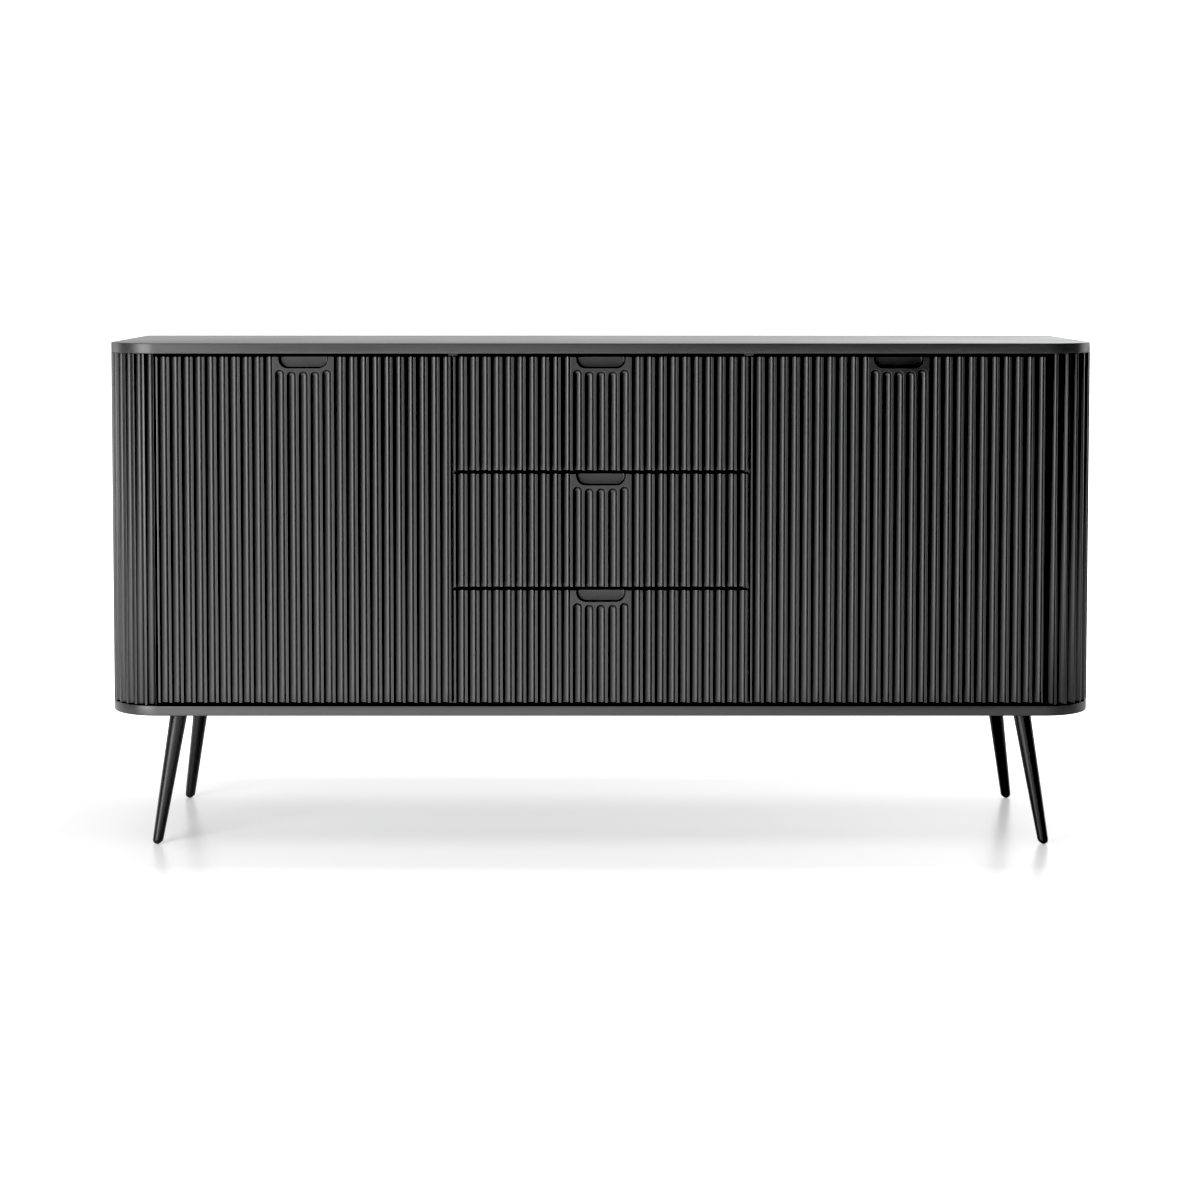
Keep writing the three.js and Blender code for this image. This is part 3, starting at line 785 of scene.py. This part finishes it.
def bumpers(node, body, free_side):
    """Two clear bumpers on the back of a front, at its free side."""
    low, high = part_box(node)
    inset_x, inset_z = 7 * MM, 25 * MM
    x = (high.x if free_side > 0 else low.x) - free_side * inset_x
    dome = [(4 * MM, 0), (3.9 * MM, 0.5 * MM), (3.2 * MM, 0.8 * MM), (1.6 * MM, 0.95 * MM)]
    solids = [turned(dome, (x, high.y, z), "y", 24) for z in (low.z + inset_z, high.z - inset_z)]
    vertices, faces = joined(solids)
    make_piece(f"bumpers_{node}", vertices, faces, "clear", body)


# ---- CAD nodes that stay, with a finish and softened edges ----
def keep_node(node, material, edge, segments=2):
    """Keeps a CAD node: only its material and a bevel modifier are added."""
    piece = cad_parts[node]
    piece.data.materials.clear()
    piece.data.materials.append(MATERIALS[material])
    bevel = piece.modifiers.new("softened_edges", "BEVEL")
    bevel.width = edge
    bevel.segments = segments
    bevel.limit_method = "ANGLE"
    bevel.angle_limit = math.radians(40)
    weld = piece.modifiers.new("weld", "WELD")
    weld.merge_threshold = 0.01 * MM
    piece.modifiers.move(1, 0)


def kept_nodes():
    """Finishes for the boards, hinge arms and runners that stay as they are in the CAD."""
    for word in ("left", "right"):
        for board in ("gable", "divider", "shelf"):
            keep_node(f"{board}_{word}", "inner", 0.6 * MM)
        for place in ("lower", "upper"):
            keep_node(f"hinge_arm_{word}_{place}", "steel", 0.9 * MM)
    for word in ("bottom", "middle", "top"):
        for board in ("side_left", "side_right", "back", "bottom"):
            keep_node(f"drawer_{word}_{board}", "drawer", 0.5 * MM)
        for hand in ("left", "right"):
            keep_node(f"runner_outer_{word}_{hand}", "runner", 0.35 * MM)
            keep_node(f"runner_inner_{word}_{hand}", "runner", 0.35 * MM)


# ---- small fittings ----
def shelf_pins():
    """Four steel pins under each shelf, which stick out from the boards beside it."""
    stem = [(2.4 * MM, -1 * MM), (2.5 * MM, 0), (2.5 * MM, 7 * MM), (1.9 * MM, 7.6 * MM)]
    inset = 60 * MM
    drop = 2.6 * MM
    for word in ("left", "right"):
        low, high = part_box(f"shelf_{word}")
        solids = []
        for x, way in ((low.x, 1), (high.x, -1)):
            for y in (low.y + inset, high.y - inset):
                vertices, faces = turned(stem, (0, 0, 0), "x", 20)
                vertices = vertices * [way, 1, 1] + [x, y, low.z - drop]
                solids.append((vertices, faces))
        vertices, faces = joined(solids)
        make_piece(f"shelf_pins_{word}", vertices, faces, "steel", "carcass")


def back_panel():
    """The fibre board, a little thinner than its space so that its screw heads end flush."""
    low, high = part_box("back_panel")
    face = high.y - BACK_RISE
    outline = np.array([(low.x, low.z), (high.x, low.z), (high.x, high.z), (low.x, high.z)])
    vertices, faces = loft(slab(outline, low.y, face, 0.4 * MM, 2))
    vertices = vertices[:, [0, 2, 1]]
    make_piece("back_panel_board", vertices, faces, "back", "carcass", ["back_panel"])
    edge_inset, end_inset, board_inset = 9 * MM, 30 * MM, 110 * MM
    spots = []
    for z in (low.z + edge_inset, high.z - edge_inset):
        spots += [(x, face, z) for x in np.linspace(low.x + end_inset, high.x - end_inset, 11)]
    for node in ("gable_left", "divider_left", "divider_right", "gable_right"):
        board_low, board_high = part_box(node)
        x = (board_low.x + board_high.x) / 2
        spots += [(x, face, z) for z in np.linspace(low.z + board_inset, high.z - board_inset, 3)]
    screws("back_panel_screws", spots, "y", 1, "carcass", 3.4 * MM, BACK_RISE)


def runner_screws():
    """Three screws through the web of each outer runner."""
    web_depth = 1.5 * MM
    end_inset = 20 * MM
    middle_place = 150 * MM
    for word in ("bottom", "middle", "top"):
        for hand, side in (("left", -1), ("right", 1)):
            low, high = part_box(f"runner_outer_{word}_{hand}")
            middle_z = (low.z + high.z) / 2
            web = (high.x if side > 0 else low.x) - side * web_depth
            places = [low.y + end_inset, low.y + middle_place, high.y - end_inset]
            spots = [(web, y, middle_z) for y in places]
            name = f"runner_screws_{word}_{hand}"
            screws(name, spots, "x", -side, "carcass", 3 * MM, 1.2 * MM)


def drawers():
    """The three drawer fronts. Their boxes stay as in the CAD."""
    for word in ("bottom", "middle", "top"):
        fluted_front(f"drawer_{word}_front", f"drawer_{word}")


# ---- stage, light and camera ----
def stage_floor():
    """A pale floor that runs out to white, with light and shade painted into its glow.

    To the camera it glows less right under the object, which is a painted shadow. Reflections and
    bounced light
    see a glowing patch of it before the object, brighter to the left and dimmer close under the object:
    painted light with painted shade.
    """
    nodes = Nodes("studio_floor")
    tone = nodes.ramp(nodes.noise(0.4, 2), [(0.3, 0.56), (0.7, 0.58)])
    place = nodes.add("ShaderNodeTexCoord")
    axes = nodes.add("ShaderNodeSeparateXYZ")
    nodes.join(place.outputs["Object"], axes.inputs[0])
    beside = nodes.beyond(axes.outputs["X"], cad_high.x)
    away = nodes.length(beside, nodes.beyond(axes.outputs["Y"], cad_high.y))
    # painted shadow: to the camera the floor glows less close round the object's footprint
    camera_glow_with_painted_shadow = nodes.spread(away, PAINTED_SHADOW_GLOW, 1.2, 0.1, 0.5)
    # painted light: a glowing patch before the object for reflections and bounced light, brighter to
    # the left
    patch_half = 0.9
    near = nodes.spread(axes.outputs["Y"], 0, 1, -3.4, -1.7)
    lean = nodes.spread(axes.outputs["X"], 4.2, 1.2, -patch_half, patch_half)
    # painted shade: the glowing patch is dimmer close under the object
    painted_shade_under = nodes.spread(away, 0.1, 1, 0.1, 0.8)
    dim_aside = nodes.spread(nodes.beyond(axes.outputs["X"], patch_half), 1, 0.1, 0, 0.6)
    painted_light_patch = nodes.multiply(nodes.multiply(near, lean), nodes.multiply(painted_shade_under, dim_aside))
    # the camera sees the glow with the painted shadow; reflections and bounced light see the painted
    # light patch
    path = nodes.add("ShaderNodeLightPath")
    glow = nodes.add("ShaderNodeMix")
    nodes.join(path.outputs["Is Camera Ray"], glow.inputs[0])
    nodes.join(painted_light_patch, glow.inputs[2])
    nodes.join(camera_glow_with_painted_shadow, glow.inputs[3])
    nodes.join(tone, nodes.shader.inputs["Base Color"])
    nodes.join(glow.outputs[0], nodes.shader.inputs["Emission Strength"])
    nodes.shader.inputs["Emission Color"].default_value = (1, 1, 1, 1)
    nodes.shader.inputs["Roughness"].default_value = 0.3
    nodes.shader.inputs["Specular IOR Level"].default_value = 0.35
    half = 30
    corners = [(-half, -half, 0), (half, -half, 0), (half, half, 0), (-half, half, 0)]
    mesh = bpy.data.meshes.new("studio_floor")
    mesh.from_pydata(corners, [], [(0, 1, 2, 3)])
    mesh.materials.append(nodes.material)
    floor = bpy.data.objects.new("studio_floor", mesh)
    bpy.context.scene.collection.objects.link(floor)


def area_light(name, at, towards, size, radiance, mirrored=True):
    """A soft rectangular light that the camera doesn't see.

    radiance is how bright its face is, with 1 as white paper. mirrored says if reflections show it.
    """
    data = bpy.data.lights.new(name, "AREA")
    data.shape = "RECTANGLE"
    data.size, data.size_y = size
    data.energy = radiance * math.pi * size[0] * size[1]
    light = bpy.data.objects.new(name, data)
    light.location = at
    light.rotation_euler = (Vector(towards) - Vector(at)).to_track_quat("-Z", "Y").to_euler()
    light.visible_camera = False
    light.visible_glossy = mirrored
    bpy.context.scene.collection.objects.link(light)


def softbox(name, azimuth, distance, height, size, radiance, mirrored=True):
    """A light turned to the object. azimuth is in degrees from straight ahead, positive to the left."""
    turn = math.radians(azimuth)
    at = (-math.sin(turn) * distance, cad_low.y - math.cos(turn) * distance, height)
    area_light(name, at, (cad_low + cad_high) / 2, size, radiance, mirrored)


def studio_light():
    """Light from above and softboxes all round. The fill isn't mirrored: it lightens the inside."""
    area_light("overhead", (0, 0.3, 4.2), (0, 0.3, 0), size=(6, 5), radiance=2.2)
    softbox("key_softbox", 44, distance=3.0, height=0.8, size=(1.5, 2.2), radiance=10.5)
    softbox("front_softbox", 2, distance=4.6, height=0.8, size=(1.1, 2.2), radiance=2.8)
    softbox("right_strip", -72, distance=3.0, height=0.8, size=(0.5, 2.0), radiance=0.3)
    for word, azimuth in (("left", 112), ("right", -112)):
        name = f"{word}_side_softbox"
        softbox(name, azimuth, distance=3.6, height=1.0, size=(1.8, 1.8), radiance=2)
    softbox("inner_fill", -16, distance=4.2, height=0.6, size=(2.4, 1.2), radiance=7, mirrored=False)


def studio_world():
    """White behind the object, most of all to the right, and dim before it.

    So the front shows only the softboxes. The camera itself sees white everywhere.
    """
    world = bpy.data.worlds.new("studio")
    world.use_nodes = True
    bpy.context.scene.world = world
    tree = world.node_tree
    background = tree.nodes["Background"]
    background.inputs["Color"].default_value = (1, 1, 1, 1)
    place = tree.nodes.new("ShaderNodeTexCoord")
    axes = tree.nodes.new("ShaderNodeSeparateXYZ")
    tree.links.new(place.outputs["Generated"], axes.inputs[0])

    def ramp(axis, start, end, first, last):
        """Brightness that runs smoothly from first to last between two places on an axis."""
        node = tree.nodes.new("ShaderNodeMapRange")
        node.interpolation_type = "SMOOTHSTEP"
        for socket, value in zip(node.inputs[1:5], (start, end, first, last)):
            socket.default_value = value
        tree.links.new(axes.outputs[axis], node.inputs["Value"])
        return node.outputs["Result"]

    product = tree.nodes.new("ShaderNodeMath")
    product.operation = "MULTIPLY"
    tree.links.new(ramp("Y", 0.62, 0.97, first=0.03, last=1.05), product.inputs[0])
    tree.links.new(ramp("X", -0.05, 0.35, first=1.1, last=2.6), product.inputs[1])
    seen = tree.nodes.new("ShaderNodeLightPath")
    strength = tree.nodes.new("ShaderNodeMix")
    tree.links.new(seen.outputs["Is Camera Ray"], strength.inputs[0])
    tree.links.new(product.outputs["Value"], strength.inputs[2])
    strength.inputs[3].default_value = 1.05
    tree.links.new(strength.outputs[0], background.inputs["Strength"])


def studio_camera():
    """Eye height, a little left of the middle, with part of the framing by lens shift."""
    data = bpy.data.cameras.new("camera")
    data.sensor_width = 36
    data.lens = CAMERA_LENS
    data.shift_x, data.shift_y = CAMERA_SHIFT
    camera = bpy.data.objects.new("camera", data)
    camera.location = (-CAMERA_ASIDE, cad_low.y - CAMERA_DISTANCE, CAMERA_HEIGHT)
    camera.rotation_euler = (math.radians(90 - CAMERA_PITCH), 0, 0)
    bpy.context.scene.collection.objects.link(camera)
    bpy.context.scene.camera = camera


def develop_picture():
    """A plain picture with a slightly raised black point, as in a product photo."""
    settings = bpy.context.scene.view_settings
    settings.view_transform = "Standard"
    settings.use_curve_mapping = True
    settings.curve_mapping.black_level = (BLACK_POINT,) * 3
    settings.curve_mapping.update()


case_panel("top_panel")
case_panel("bottom_panel")
fluted_side("left", -1)
fluted_side("right", 1)
doors()
drawers()
legs()
kept_nodes()
shelf_pins()
back_panel()
runner_screws()
stage_floor()
studio_light()
studio_world()
studio_camera()
develop_picture()
